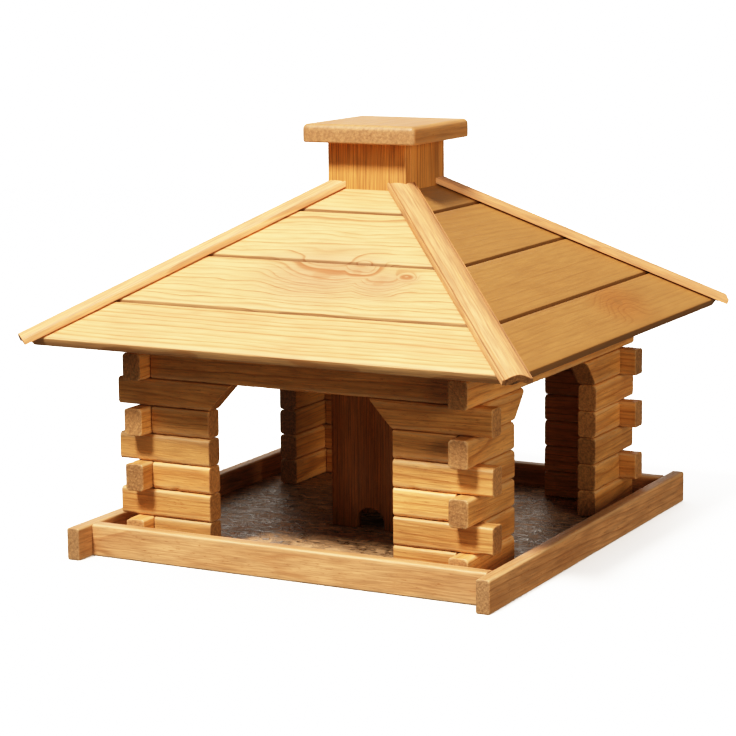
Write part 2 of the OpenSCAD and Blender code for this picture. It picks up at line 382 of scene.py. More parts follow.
# Rotary-cut softwood ply of the tray floor, greyed by weather: wide swirling figure with worn,
# shiny strokes between dull ones.
FLOOR_PLY = Softwood(
    name="weathered_softwood_ply_floor", early="#BC9670", late="#664834", deep="#463022",
    end="#5A4433", worn="#A98C70", ring_mm=6.0, contrast=0.6, blotch=0.6, wander_mm=9.0,
    curl_mm=16.0, fibre_mm=6.5, fibre_long_mm=26.0, fibre=0.62, speck=0.8, roughness=0.5,
    unevenness=0.24, coat=0.1, relief_mm=1.1,
)
# Spruce battens inside the roof, sawn and given one thin coat: dull and slightly furry.
PLATE_WOOD = Softwood(
    name="thinly_glazed_spruce_sawn_plates", early="#CB9A63", late="#99703F", deep="#936838",
    end="#8B6740", worn="#DDB583", ring_mm=3.2, contrast=0.5, blotch=0.4, fibre=0.26,
    roughness=0.7, coat=0.0, relief_mm=0.35,
)


class Finish(Enum):
    """The finishes, each with the record's material slot that it stands for."""

    ROOF = (ROOF_WOOD, "roof_wood")
    ROOF_KNOTTY = (KNOTTY_ROOF_WOOD, "roof_wood")
    ROOF_SIDE = (SHADED_SIDE_ROOF_WOOD, "roof_wood")
    LOG = (LOG_WOOD, "log_wood")
    RAIL = (RAIL_WOOD, "rail_wood")
    HIP = (HIP_WOOD, "hip_wood")
    COLUMN = (COLUMN_WOOD, "column_wood")
    CAP = (CAP_WOOD, "cap_wood")
    FLOOR = (FLOOR_PLY, "floor_sheet")
    PLATE = (PLATE_WOOD, "plate_wood")

    def material(self) -> bpy.types.Material:
        """The finish's material, made the first time it is asked for."""
        return bpy.data.materials.get(self.value[0].name) or self.value[0].make()


class Cut(Enum):
    """How a plank was sawn: where the pith lies beside it, across and under it, in mm."""

    QUARTER = (78.0, 6.0)
    RIFT = (46.0, 34.0)
    FLAT = (7.0, 42.0)
    HEART = (3.0, 17.0)


# ---- timber ----


@dataclass
class Figure:
    """Where a plank lay in its log, and its knot."""

    cut: Cut
    seed: str  # seed for its place in the log, its tilt and its tone
    knot: Pair | None = None  # place of its knot along and across it in mm
    tone: float | None = None  # how much lighter or darker than others it is, from -1 to 1

    def __post_init__(self) -> None:
        """Draws the plank's place in its log from the seed."""
        draw = random.Random(self.seed)
        side, under = self.cut.value
        self.shift = draw.uniform(0, 4000)
        self.pith_across = side * draw.uniform(0.8, 1.25) * draw.choice((-1, 1))
        self.pith_up = under * draw.uniform(0.8, 1.3) * draw.choice((-1, 1))
        self.lean_across = draw.uniform(-0.03, 0.03)
        self.lean_up = draw.uniform(-0.02, 0.02)
        drawn = draw.uniform(-1, 1)
        if self.tone is None:
            self.tone = drawn

    def grain(self, along: float, across: float, up: float) -> Triple:
        """Place in the log of a point of the plank, in mm."""
        across += self.pith_across + self.lean_across * along
        return along + self.shift, across, up + self.pith_up + self.lean_up * along

    def beside_knot(self, along: float, across: float) -> Triple:
        """Place beside the knot in mm, far off if there is none, and the tone."""
        if self.knot is None:
            return 900.0, 900.0, self.tone
        return along - self.knot[0], across - self.knot[1], self.tone


@dataclass
class Corner:
    """One point of a section."""

    across: float
    up: float
    edge: float = 0.0  # how much it lies on an arris, from 0 to 1
    ease: float = 0.8  # radius in mm by which the end of the plank is eased here
    painted_shade: float = 0.0  # how much painted shade darkens it here, for the shade in seams and recesses, from 0 to 1


def arc(centre: Pair, radius: float, start: float) -> list[Corner]:
    """Points of a rounded arris, a quarter of a circle.

    Args:
        centre: Centre of the arc, across and up, in mm.
        radius: Its radius in mm.
        start: Where it starts, in degrees.

    Returns:
        The points in order.
    """
    out, steps = [], 6
    for k in range(steps + 1):
        a = math.radians(start + 90 * k / steps)
        x, y = centre[0] + radius * math.cos(a), centre[1] + radius * math.sin(a)
        out.append(Corner(x, y, 0.35 + 0.65 * math.sin(math.pi * k / steps)))
    return out


def filled(corners: list[Corner], gap: float) -> list[Corner]:
    """Adds points along the flats of a section, so that they can cup and wave.

    Args:
        corners: The section.
        gap: Longest chord that may stay, in mm.

    Returns:
        The section with its long chords divided.
    """
    out = []
    for k, a in enumerate(corners):
        b = corners[(k + 1) % len(corners)]
        wide, high, eased = b.across - a.across, b.up - a.up, b.ease - a.ease
        parts = max(1, math.ceil(math.hypot(wide, high) / gap))
        out.append(a)
        for t in (j / parts for j in range(1, parts)):
            out.append(Corner(a.across + wide * t, a.up + high * t, 0.0, a.ease + eased * t))
    return out


def soft_bar(width: float, height: float, radii: Sequence[float], gap: float) -> list[Corner]:
    """Section of a bar with rounded arrises, centred on the axis.

    Args:
        width: Width across in mm.
        height: Height in mm.
        radii: Radius of each arris in mm, anticlockwise from the upper right one.
        gap: Longest chord on the flats in mm.

    Returns:
        The section, anticlockwise.
    """
    out = []
    for k, (sx, sy) in enumerate(QUARTER_TURNS):
        r = radii[k]
        out += arc((sx * (width / 2 - r), sy * (height / 2 - r)), r, 90 * k)
    return filled(out, gap)


def chipped(spot: Vector, size: float, rare: float, depth: float) -> float:
    """How deep a chip bites at a spot, in mm: chips of a size, rarer as rare rises."""
    return max(0.0, noise.noise(spot / size) - rare) * depth


def loft(name: str, rings: list[list[Vector]], caps: list[list[int]]) -> bpy.types.Mesh:
    """Skins rings of points and closes both ends.

    Args:
        name: The mesh's name.
        rings: The rings, each with the same number of points.
        caps: The loops of a ring's points that close an end.

    Returns:
        The mesh.
    """
    count = len(rings[0])
    last = (len(rings) - 1) * count
    faces = []
    for low in range(0, last, count):
        high = low + count
        for j in range(count):
            n = (j + 1) % count
            faces.append((low + j, low + n, high + n, high + j))
    for base, step in ((0, -1), (last, 1)):
        faces += [tuple(base + j for j in loop[::step]) for loop in caps]
    mesh = bpy.data.meshes.new(name)
    mesh.from_pydata([point for ring in rings for point in ring], [], faces)
    return mesh


@dataclass(kw_only=True)
class Timber:
    """A piece of wood that takes the place of a CAD node, or of one solid of it."""

    name: str
    node: str  # the CAD node that it stands for
    finish: Finish
    figure: Figure
    body: str = HOUSE  # the body that it rides on

    def dress(
        self, mesh: bpy.types.Mesh, places: Sequence[Triple], wear: Sequence[Triple]
    ) -> None:
        """Stores the timber attributes, smooths the faces and hands the piece over.

        Args:
            mesh: The mesh in the shared frame.
            places: Place of each vertex along, across and through the timber, in mm.
            wear: End grain, worn arris and painted shade of each vertex, from 0 to 1.
        """
        figure = self.figure
        values = {
            "grain": [figure.grain(*p) for p in places],
            "knot": [figure.beside_knot(*p[:2]) for p in places],
            "wear": wear,
        }
        for name, vectors in values.items():
            layer = mesh.attributes.new(name, "FLOAT_VECTOR", "POINT")
            layer.data.foreach_set("vector", [x for v in vectors for x in v])
        work = bmesh.new()
        work.from_mesh(mesh)
        bmesh.ops.recalc_face_normals(work, faces=work.faces)
        work.to_mesh(mesh)
        work.free()
        mesh.shade_smooth()
        mesh.set_sharp_from_angle(angle=SHARP)
        mesh.materials.append(self.finish.material())
        piece = bpy.data.objects.new(self.name, mesh)
        bpy.context.scene.collection.objects.link(piece)
        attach(piece, self.body)
        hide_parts(self.node)
        log.info("%s: %d faces, on %s", self.name, len(mesh.polygons), self.body)


@dataclass(kw_only=True)
class Plank(Timber):
    """A length of timber, lofted ring by ring along its own grain."""

    section: list[Corner]  # anticlockwise seen from its far end
    span: Callable[[float, float], Pair]  # where it starts and ends in mm, at a section point
    place: Callable[[float, float, float], Vector]  # turns mm along, across and up into metres
    step: float = 4.0  # distance between rings in mm
    chip: float = 0.5  # depth of the deepest chips along the arrises in mm
    wave: float = 0.12  # how far its faces wave inwards in mm
    folds: tuple[int, int] | None = None  # section points between which its ends are folded

    def normals(self) -> list[Pair]:
        """Outward direction at each point of the section.

        Returns:
            For each point, how far the direction goes across and up.
        """
        out = []
        for k in range(len(self.section)):
            a, b = self.section[k - 1], self.section[(k + 1) % len(self.section)]
            x, y = b.up - a.up, a.across - b.across
            size = math.hypot(x, y) or 1.0
            out.append((x / size, y / size))
        return out

    def stations(self) -> list[tuple[str, float]]:
        """Where the rings stand.

        Returns:
            For each ring, "start", "run" or "stop" and its place there: an angle of the eased
            end in degrees, or a share of the run between the two eased ends.
        """
        spans = [self.span(c.across, c.up) for c in self.section]
        parts = max(2, round(max(high - low for low, high in spans) / self.step))
        ends = (0.0, 30.0, 60.0)
        out = [("start", a) for a in ends]
        out += [("run", k / parts) for k in range(parts + 1)]
        return out + [("stop", a) for a in reversed(ends)]

    def ring(self, kind: str, at: float, normals: list[Pair]) -> list[tuple]:
        """One ring of points.

        Args:
            kind: "start", "run" or "stop".
            at: Angle or share, as stations() gives it.
            normals: Outward directions of the section.

        Returns:
            For each point: along, across, up, end, edge and painted shade.
        """
        chip_mm, wave_mm, rare, gain, end_share = 7.0, 31.0, 0.22, 1.5, 0.7
        run = kind == "run"
        angle = math.radians(90.0 if run else at)
        out = []
        for corner, (nx, ny) in zip(self.section, normals):
            ease = corner.ease
            inset, back = ease * (1 - math.sin(angle)), ease * (1 - math.cos(angle))
            across, up = corner.across - nx * inset, corner.up - ny * inset
            low, high = self.span(across, up)
            along = low + back if kind == "start" else high - back
            if run:
                along = low + ease + (high - low - 2 * ease) * at
            spot = Vector(self.figure.grain(along, across, up))
            sink = chipped(spot, chip_mm, rare, gain * self.chip * corner.edge)
            if run:
                sink += (0.5 + 0.5 * noise.noise(spot / wave_mm)) * self.wave
            else:
                sink *= end_share
            end = 0.0 if run else 1.0 - at / 90.0
            out.append((along, across - nx * sink, up - ny * sink, end, corner.edge, corner.painted_shade))
        return out

    def inner(self, rim: list[tuple], end: int) -> list[tuple]:
        """A ring just inside the rim of an end, so that the end shades flat.

        Args:
            rim: The end's outermost ring.
            end: 0 for the start and 1 for the stop.

        Returns:
            The points, as ring() gives them.
        """
        share = 0.12
        middle = [sum(p[j] for p in rim) / len(rim) for j in (1, 2)]
        out = []
        for _, across, up, _, _, painted_shade in rim:
            across += (middle[0] - across) * share
            up += (middle[1] - up) * share
            out.append((self.span(across, up)[end], across, up, 1.0, 0.0, painted_shade))
        return out

    def build(self) -> None:
        """Lofts the mesh and dresses it."""
        normals = self.normals()
        rings = [self.ring(kind, at, normals) for kind, at in self.stations()]
        rings = [self.inner(rings[0], 0), *rings, self.inner(rings[-1], 1)]
        points = [p for ring in rings for p in ring]
        placed = [[self.place(*p[:3]) for p in ring] for ring in rings]
        count = len(self.section)
        caps = [list(range(count))]
        if self.folds:
            a, b = self.folds
            caps = [list(range(a, b + 1)), list(range(b, count)) + list(range(a + 1))]
        mesh = loft(self.name, placed, caps)
        self.dress(mesh, [p[:3] for p in points], [p[3:] for p in points])


@dataclass(kw_only=True)
class CutPiece(Timber):
    """A board whose outline the CAD node already has: its mesh is cleaned, its edges eased."""

    axes: tuple[Vector, Vector, Vector]  # unit directions of its length, width and thickness
    ease: float = 0.6  # width of the eased edges in mm
    low_end_shade: float = 0.0  # how much painted shade darkens its low end, fading to none at its high end

    def build(self) -> None:
        """Cleans the CAD faces, eases the edges and dresses the piece."""
        weld, flat, bend, rubbed = 1e-6, math.radians(1), 0.5, 0.15
        work = bmesh.new()
        work.from_mesh(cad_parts[self.node].data)
        bmesh.ops.remove_doubles(work, verts=work.verts, dist=weld)
        bmesh.ops.dissolve_limit(work, angle_limit=flat, verts=work.verts, edges=work.edges)
        sharp = [e for e in work.edges if len(e.link_faces) == 2 and e.calc_face_angle() > bend]
        rounding = {"offset": self.ease * MM, "segments": 2, "profile": 0.5}
        bmesh.ops.bevel(work, geom=sharp, affect="EDGES", clamp_overlap=True, **rounding)
        mesh = bpy.data.meshes.new(self.name)
        work.to_mesh(mesh)
        work.free()
        places = [tuple(v.co.dot(a) / MM for a in self.axes) for v in mesh.vertices]
        low, high = min(p[0] for p in places), max(p[0] for p in places)
        reach = self.ease * 0.6  # how near the end counts as end grain
        wear = []
        # The third part is painted shade, deepest at the low end.
        for along, _, _ in places:
            end = 1.0 if along - low < reach or high - along < reach else 0.0
            wear.append((end, rubbed, self.low_end_shade * (high - along) / (high - low)))
        self.dress(mesh, places, wear)


# ---- the feeder ----


class Side(Enum):
    """The four sides, with how far each is turned from the front in quarter turns."""

    FRONT = 0
    RIGHT = 1
    BACK = 2
    LEFT = 3

    def turned(self, x: float, y: float, z: float) -> Vector:
        """A point given for the front, in mm, turned to this side, in metres."""
        c, s = ((1, 0), (0, 1), (-1, 0), (0, -1))[self.value]
        return Vector((x * c - y * s, x * s + y * c, z)) * MM


class Post(Enum):
    """The four corner posts, with the sides of X and Y that each stands on."""

    FRONT_LEFT = (-1, -1)
    FRONT_RIGHT = (1, -1)
    BACK_LEFT = (-1, 1)
    BACK_RIGHT = (1, 1)


class Hip(Enum):
    """The four hips, with their direction from the front right one in quarter turns."""

    FRONT_RIGHT = 0
    BACK_RIGHT = 1
    BACK_LEFT = 2
    FRONT_LEFT = 3

    def turn(self) -> float:
        """Direction of the hip from the X axis, in radians."""
        return math.radians(90 * self.value - 45)


@dataclass
class Tray:
    """Floor sheet and four rails. Sizes in mm."""

    width: float = 396.0
    depth: float = 428.0
    set_in: float = 20.0  # how far the side rails run past the cross rails
    rail_t: float = 12.0
    rail_h: float = 28.0
    floor_t: float = 8.0
    soft: float = 1.6  # radius of the rails' lower arrises

    def build(self) -> None:
        """Builds the rails and the floor sheet."""
        for side in (-1, 1):
            self.rail("left" if side < 0 else "right", side, True)
            self.rail("front" if side < 0 else "back", side, False)
        self.floor()

    def rail(self, word: str, side: int, runs: bool) -> None:
        """A side rail, which runs past the corners, or a cross rail, which butts between them.

        Args:
            word: Its side in words.
            side: -1 for the left or front one and 1 for the right or back one.
            runs: True for a side rail.
        """
        half = self.depth / 2 if runs else self.width / 2 - self.rail_t
        outer = self.width / 2 if runs else self.depth / 2 - self.set_in
        middle = side * (outer - self.rail_t / 2)
        top = self.soft + 0.5

        def set_down(a: float, c: float, u: float) -> Vector:
            """Where a point of the rail lies."""
            spot = (middle - c, a) if runs else (a, middle + c)
            return Vector((*spot, self.rail_h / 2 + u)) * MM

        cut, tone = (Cut.RIFT, -0.1) if runs else (Cut.QUARTER, 0.3)
        Plank(
            name=f"tray_rail_{word}", node=f"rail_{word}", finish=Finish.RAIL,
            figure=Figure(cut, f"rail {word}", tone=tone),
            section=soft_bar(self.rail_t, self.rail_h, (top, top, self.soft, self.soft), 4.0),
            span=lambda across, up: (-half, half), place=set_down, chip=0.45,
        ).build()

    def floor(self) -> None:
        """The floor sheet, let in between the rails."""
        half_x = self.width / 2 - self.rail_t
        half_y = self.depth / 2 - self.set_in - self.rail_t
        Plank(
            name="tray_floor_sheet", node="floor_board", finish=Finish.FLOOR,
            figure=Figure(Cut.FLAT, "floor", tone=0.0),
            section=soft_bar(2 * half_y, self.floor_t, (0.8,) * 4, 14.0),
            span=lambda across, up: (-half_x, half_x),
            place=lambda a, c, u: Vector((a, c, self.floor_t / 2 + u)) * MM, step=12.0, chip=0.3,
            wave=0.25,
        ).build()


@dataclass
class CornerPosts:
    """Four posts of six crossed strips each way, and the ring of beams on them. Sizes in mm."""

    span: float = 324.0  # width over the posts' outer faces
    strip_w: float = 18.0
    strip_h: float = 24.0
    strip_len: float = 90.0
    out: float = 15.0  # how far a strip runs past the corner
    corbel: float = 22.0  # how much further in the top strips reach at their upper edge
    gap: float = 0.3  # hairline gap where a strip butts another
    floor_t: float = 8.0  # height of the tray's floor, on which the posts stand
    courses: int = 6
    tones: dict[str, float] = field(  # strips plainly lighter or darker than their neighbours
        default_factory=lambda: {
            "front_right 3 x": 1.7, "front_right 4 x": 0.9, "front_right 2 x": -0.9,
            "front_right 1 x": -0.5, "front_left 1 x": -1.5,
        }
    )

    def __post_init__(self) -> None:
        """Works out where the strips lie."""
        self.axis = self.span / 2 - self.strip_w / 2
        self.outer = self.span / 2 + self.out
        self.inner = self.outer - self.strip_len
        self.butt = self.span / 2 - self.strip_w - self.gap

    def build(self) -> None:
        """Builds every strip of every course, and the four beams."""
        for post in Post:
            for course in range(1, self.courses + 1):
                self.strip(post, course, "x", course % 2 == 0)
                self.strip(post, course, "y", course % 2 == 1)
        for side in (-1, 1):
            self.beam("left" if side < 0 else "right", "y", side, self.outer)
            self.beam("front" if side < 0 else "back", "x", side, self.butt)

    def section(self, seed: str) -> list[Corner]:
        """Section of a strip, its four arrises rounded by slightly different amounts.

        Args:
            seed: Seed of the strip.

        Returns:
            The section.
        """
        draw = random.Random("section " + seed)
        radii = [draw.uniform(2.3, 4.0) for _ in range(4)]
        corners = soft_bar(self.strip_w - 0.2, self.strip_h - 0.25, radii, 4.0)
        for corner in corners:
            corner.ease = 0.9
        return corners

    def laid(
        self, along: str, sides: tuple[int, int], course: int, nudge: float, tilt: float
    ) -> Callable[[float, float, float], Vector]:
        """How a strip or beam is laid.

        Args:
            along: The axis that it lies along, "x" or "y".
            sides: The sides of X and Y that it lies on, each -1 or 1.
            course: Its course, 1 at the bottom.
            nudge: How far it lies out of line in mm.
            tilt: Twice the slope by which it runs out of line.

        Returns:
            What turns along, across and up in mm into a point in metres.
        """
        sx, sy = sides
        z = self.floor_t + (course - 0.5) * self.strip_h

        def set_down(a: float, c: float, u: float) -> Vector:
            """Where a point of the strip lies."""
            side = self.axis + c + nudge + tilt * (a - self.axis) * 0.5
            x, y = (a, side) if along == "x" else (side, a)
            return Vector((sx * x, sy * y, z + u)) * MM

        return set_down

    def strip(self, post: Post, course: int, along: str, runs: bool) -> None:
        """One strip of one course.

        Args:
            post: Which post.
            course: Its course, 1 at the bottom.
            along: The axis that it lies along, "x" or "y".
            runs: True if it runs past the corner, and False if it butts the other strip.
        """
        corner = post.name.lower()
        seed = f"{corner} {course} {along}"
        draw = random.Random("place " + seed)
        trim = draw.uniform(0.0, 0.9) if runs else 0.0
        nudge = draw.uniform(-0.15, 0.15)
        tilt = draw.uniform(-0.004, 0.004) if runs else 0.0
        stop = (self.outer if runs else self.butt) - trim
        lean = self.corbel if course == self.courses else 0.0
        cut = draw.choice((Cut.RIFT, Cut.FLAT, Cut.HEART, Cut.QUARTER))

        def reach(across: float, up: float) -> Pair:
            """Where the strip starts, further in towards its top if it is a corbel, and stops."""
            return self.inner - lean * ((up + self.strip_h / 2) / self.strip_h), stop

        Plank(
            name=f"strip_{corner}_{course}_{along}", node=f"post_{corner}_course_{course}",
            finish=Finish.LOG, figure=Figure(cut, seed, tone=self.tones.get(seed)),
            section=self.section(seed), span=reach,
            place=self.laid(along, post.value, course, nudge, tilt), step=3.0, chip=1.3, wave=0.22,
        ).build()

    def beam(self, word: str, along: str, side: int, half: float) -> None:
        """One beam of the ring.

        Args:
            word: Its side in words.
            along: The axis that it lies along.
            side: -1 or 1, the side of the other axis that it lies on.
            half: Half its length.
        """
        sides = (1, side) if along == "x" else (side, 1)
        Plank(
            name=f"ring_beam_{word}", node=f"beam_{word}", finish=Finish.LOG,
            figure=Figure(Cut.RIFT, "beam " + word), section=self.section("beam " + word),
            span=lambda across, up: (-half, half),
            place=self.laid(along, sides, self.courses + 1, 0.0, 0.0), chip=0.9, wave=0.2,
        ).build()


@dataclass
class SeedColumn:
    """Four boards that make the hollow seed column, with an arched outlet at each foot."""

    def build(self) -> None:
        """Builds the four boards."""
        for side in Side:
            word = side.name.lower()
            across, through = side.turned(1, 0, 0) / MM, side.turned(0, 1, 0) / MM
            # The boards darken towards their feet: painted shade for the shade inside the house.
            CutPiece(
                name=f"column_board_{word}", node=f"silo_board_{word}", finish=Finish.COLUMN,
                figure=Figure(Cut.RIFT, "column " + word, tone=0.2),
                axes=(Vector((0, 0, 1)), across, through), low_end_shade=0.85,
            ).build()


@dataclass
class Roof:
    """Sixteen boards on four slopes, mitred under the hips. Sizes in mm."""

    width: float = 450.0  # over the eaves
    eave_z: float = 192.0  # height of the eaves' upper arris
    ridge_z: float = 307.0  # height where the boards meet the column
    column: float = 75.0  # width of the column
    board_t: float = 9.0
    eave_board: float = 53.0  # width of the lowest board up the slope
    cover: float = 67.0  # width that each full board covers
    bevel_w: float = 3.5  # width of the bevel along each lower edge
    bevel_d: float = 3.0  # its depth
    gap: float = 0.4  # hairline gap on the hips
    knots: dict[tuple[str, int], Pair] = field(  # along the eaves and up the slope
        default_factory=lambda: {
            ("front", 2): (40.0, 103.0), ("front", 3): (40.0, 103.0), ("right", 1): (52.0, 34.0),
            ("back", 3): (-40.0, 150.0), ("left", 2): (-60.0, 78.0),
        }
    )

    def __post_init__(self) -> None:
        """Works out the pitch and the joints."""
        self.eave = self.width / 2
        self.pitch = math.atan2(self.ridge_z - self.eave_z, self.eave - self.column / 2)
        self.slope = (self.eave - self.column / 2) / math.cos(self.pitch)
        self.foot = self.slope - self.board_t * math.tan(self.pitch)
        self.joints = [0.0] + [self.eave_board + k * self.cover for k in range(3)] + [self.slope]

    def build(self) -> None:
        """Builds the boards of every slope."""
        for side in Side:
            for board in range(1, 5):
                self.board(side, board)

    def on_slope(self, s: float, n: float) -> Pair:
        """Y and Z in mm of a point of the front slope: s up the slope, n out of the face."""
        c, k = math.cos(self.pitch), math.sin(self.pitch)
        return -self.eave + s * c - n * k, self.eave_z + s * k + n * c

    def section(self, board: int) -> list[Corner]:
        """Section of a board: a nose at its lower edge, then its face and its upper edge.

        Args:
            board: 1 at the eave, 4 at the column.

        Returns:
            The section: across is up the slope, and up is out of the face.
        """
        low, high, t = self.joints[board - 1], self.joints[board], self.board_t
        wide, deep = self.bevel_w, self.bevel_d
        # up the slope, out of the face, and painted shade, which darkens the bevels, the seams and
        # the eave's underside
        if board == 1:
            # The eave board's nose faces downwards; its painted shade stands for the shade under
            # the eave.
            nose = [(0.8, -t, 0.7), (0.0, -t + 0.8, 0.75), (0.0, -1.6, 0.6), (0.5, -0.5, 0.25)]
            nose += [(1.7, 0.0, 0.0)]
        else:
            # The bevel of each higher board takes painted shade, the dark line of the seam.
            nose = [(0.5, -t, 1.0), (0.5, -deep, 1.0), (wide * 0.6, -deep * 0.42, 0.9)]
            nose += [(wide - 0.4, -0.15, 0.55), (wide + 0.5, 0.0, 0.0)]
        path = [Corner(low + s, n, 0.3, 0.3, painted_shade) for s, n, painted_shade in nose]
        if board == 4:
            tail = [(high, 0.0, 0.0), (self.foot, -t, 0.0)]
        else:
            # The upper edge, under the next board's bevel, takes painted shade as well.
            tail = [(high - 1.1, 0.0, 0.0), (high - 0.3, -0.3, 0.0)]
            tail += [(high, -1.2, 1.0), (high, -t, 1.0)]
        path += [Corner(s, n, 0.0, 0.3, painted_shade) for s, n, painted_shade in tail]
        return filled(path[::-1], 7.0)

    def board(self, side: Side, board: int) -> None:
        """One board.

        Args:
            side: Its slope.
            board: 1 at the eave, 4 at the column.
        """
        word = side.name.lower()
        cut = (Cut.QUARTER, Cut.FLAT, Cut.RIFT, Cut.FLAT)[board - 1]
        tone = random.Random(f"tone {word} {board}").uniform(-0.25, 0.25)
        knot = self.knots.get((word, board))
        # The left and right slopes take the darker cladding, whose colour holds painted shade.
        finish = Finish.ROOF_SIDE if side in (Side.LEFT, Side.RIGHT) else Finish.ROOF
        if side is Side.FRONT and knot:
            finish = Finish.ROOF_KNOTTY

        def reach(s: float, n: float) -> Pair:
            """The board's mitred ends, short of the hips by half the gap."""
            half = -self.on_slope(s, n)[0] - self.gap / math.sqrt(2)
            return -half, half

        Plank(
            name=f"roof_board_{word}_{board}",
            node=f"roof_{word}_board_{board}" if board < 4 else "roof_top_boards", finish=finish,
            figure=Figure(cut, f"roof {word} {board}", knot, tone), section=self.section(board),
            span=reach, place=lambda a, s, n: side.turned(a, *self.on_slope(s, n)), step=5.0,
            chip=0.35, wave=0.16,
        ).build()


@dataclass
class HipStrips:
    """The moulded strips that cover the hips. Sizes in mm."""

    roof: Roof
    width: float = 25.0
    side_h: float = 9.0
    bed: float = 16.0  # width of the V-notch that sits on the boards
    out: float = 5.0  # how far they run past the eaves
    lip: float = 4.9  # height of the thin lips
    brim: float = 2.4  # width of a lip and its quirk

    def __post_init__(self) -> None:
        """Works out how the hips lie."""
        self.eave_r = self.roof.eave * math.sqrt(2)
        self.column_r = self.roof.column / math.sqrt(2)
        self.pitch = math.atan(math.tan(self.roof.pitch) / math.sqrt(2))
        self.top = self.side_h - self.bed / 2 * math.sin(self.pitch)

    def build(self) -> None:
        """Builds the four strips."""
        for hip in Hip:
            self.strip(hip)

    def section(self) -> tuple[list[Corner], tuple[int, int]]:
        """Section of the moulding: a low dome between two quirks and two thin lips.

        Returns:
            The section, and the two points on its middle line.
        """
        half, bed = self.width / 2, self.bed / 2
        sole = -bed * math.sin(self.pitch)
        rim = sole + self.lip
        quirk = half - 1.4, half - 1.9
        path = [(0.0, 0.0), (bed, sole), (half, sole), (half, rim - 0.8), (half - 0.5, rim)]
        path += [(quirk[0], rim + 0.1), (quirk[1], rim - 0.35), (half - self.brim, rim + 0.3)]
        crown, steps = half - self.brim, 7
        for k in range(1, steps + 1):
            w = crown * (1 - k / steps)
            lift = (self.top - rim - 0.3) * (1 - (w / crown) ** 1.7)
            path.append((w, rim + 0.3 + lift))
        left = [(-w, h) for w, h in reversed(path[1:-1])]
        # Painted shade in the two quirks, the grooves where shade falls.
        quirk_shade = {True: 0.8, False: 0.0}
        out = [Corner(w, h, 0.25, 0.35, quirk_shade[abs(w) in quirk]) for w, h in path + left]
        return out, (0, len(path) - 1)

    def strip(self, hip: Hip) -> None:
        """One strip.

        Args:
            hip: Its hip.
        """
        word = hip.name.lower()
        turn = hip.turn()
        c, s = math.cos(self.pitch), math.sin(self.pitch)
        section, folds = self.section()

        def reach(w: float, h: float) -> Pair:
            """From the column's face to a little past the eaves."""
            return (self.column_r - abs(w) + 0.1 - self.eave_r - h * s) / c, self.out

        def set_down(a: float, w: float, h: float) -> Vector:
            """Where a point of the strip lies on its hip."""
            r = self.eave_r + a * c + h * s
            x = r * math.cos(turn) - w * math.sin(turn)
            y = r * math.sin(turn) + w * math.cos(turn)
            return Vector((x, y, self.roof.eave_z - a * s + h * c)) * MM

        Plank(
            name=f"hip_cover_{word}", node=f"hip_strip_{word}", finish=Finish.HIP,
            figure=Figure(Cut.QUARTER, "hip " + word), section=section, span=reach, place=set_down,
            step=5.0, wave=0.1, folds=folds,
        ).build()


@dataclass
class HipPlates:
    """The plates on edge that carry the hips inside the roof."""

    def build(self) -> None:
        """Builds the four plates."""
        for hip in Hip:
            word = hip.name.lower()
            c, s = math.cos(hip.turn()), math.sin(hip.turn())
            CutPiece(
                name=f"hip_carrier_{word}", node=f"hip_plate_{word}", finish=Finish.PLATE,
                figure=Figure(Cut.RIFT, "plate " + word),
                axes=(Vector((c, s, 0)), Vector((0, 0, 1)), Vector((-s, c, 0))),
            ).build()


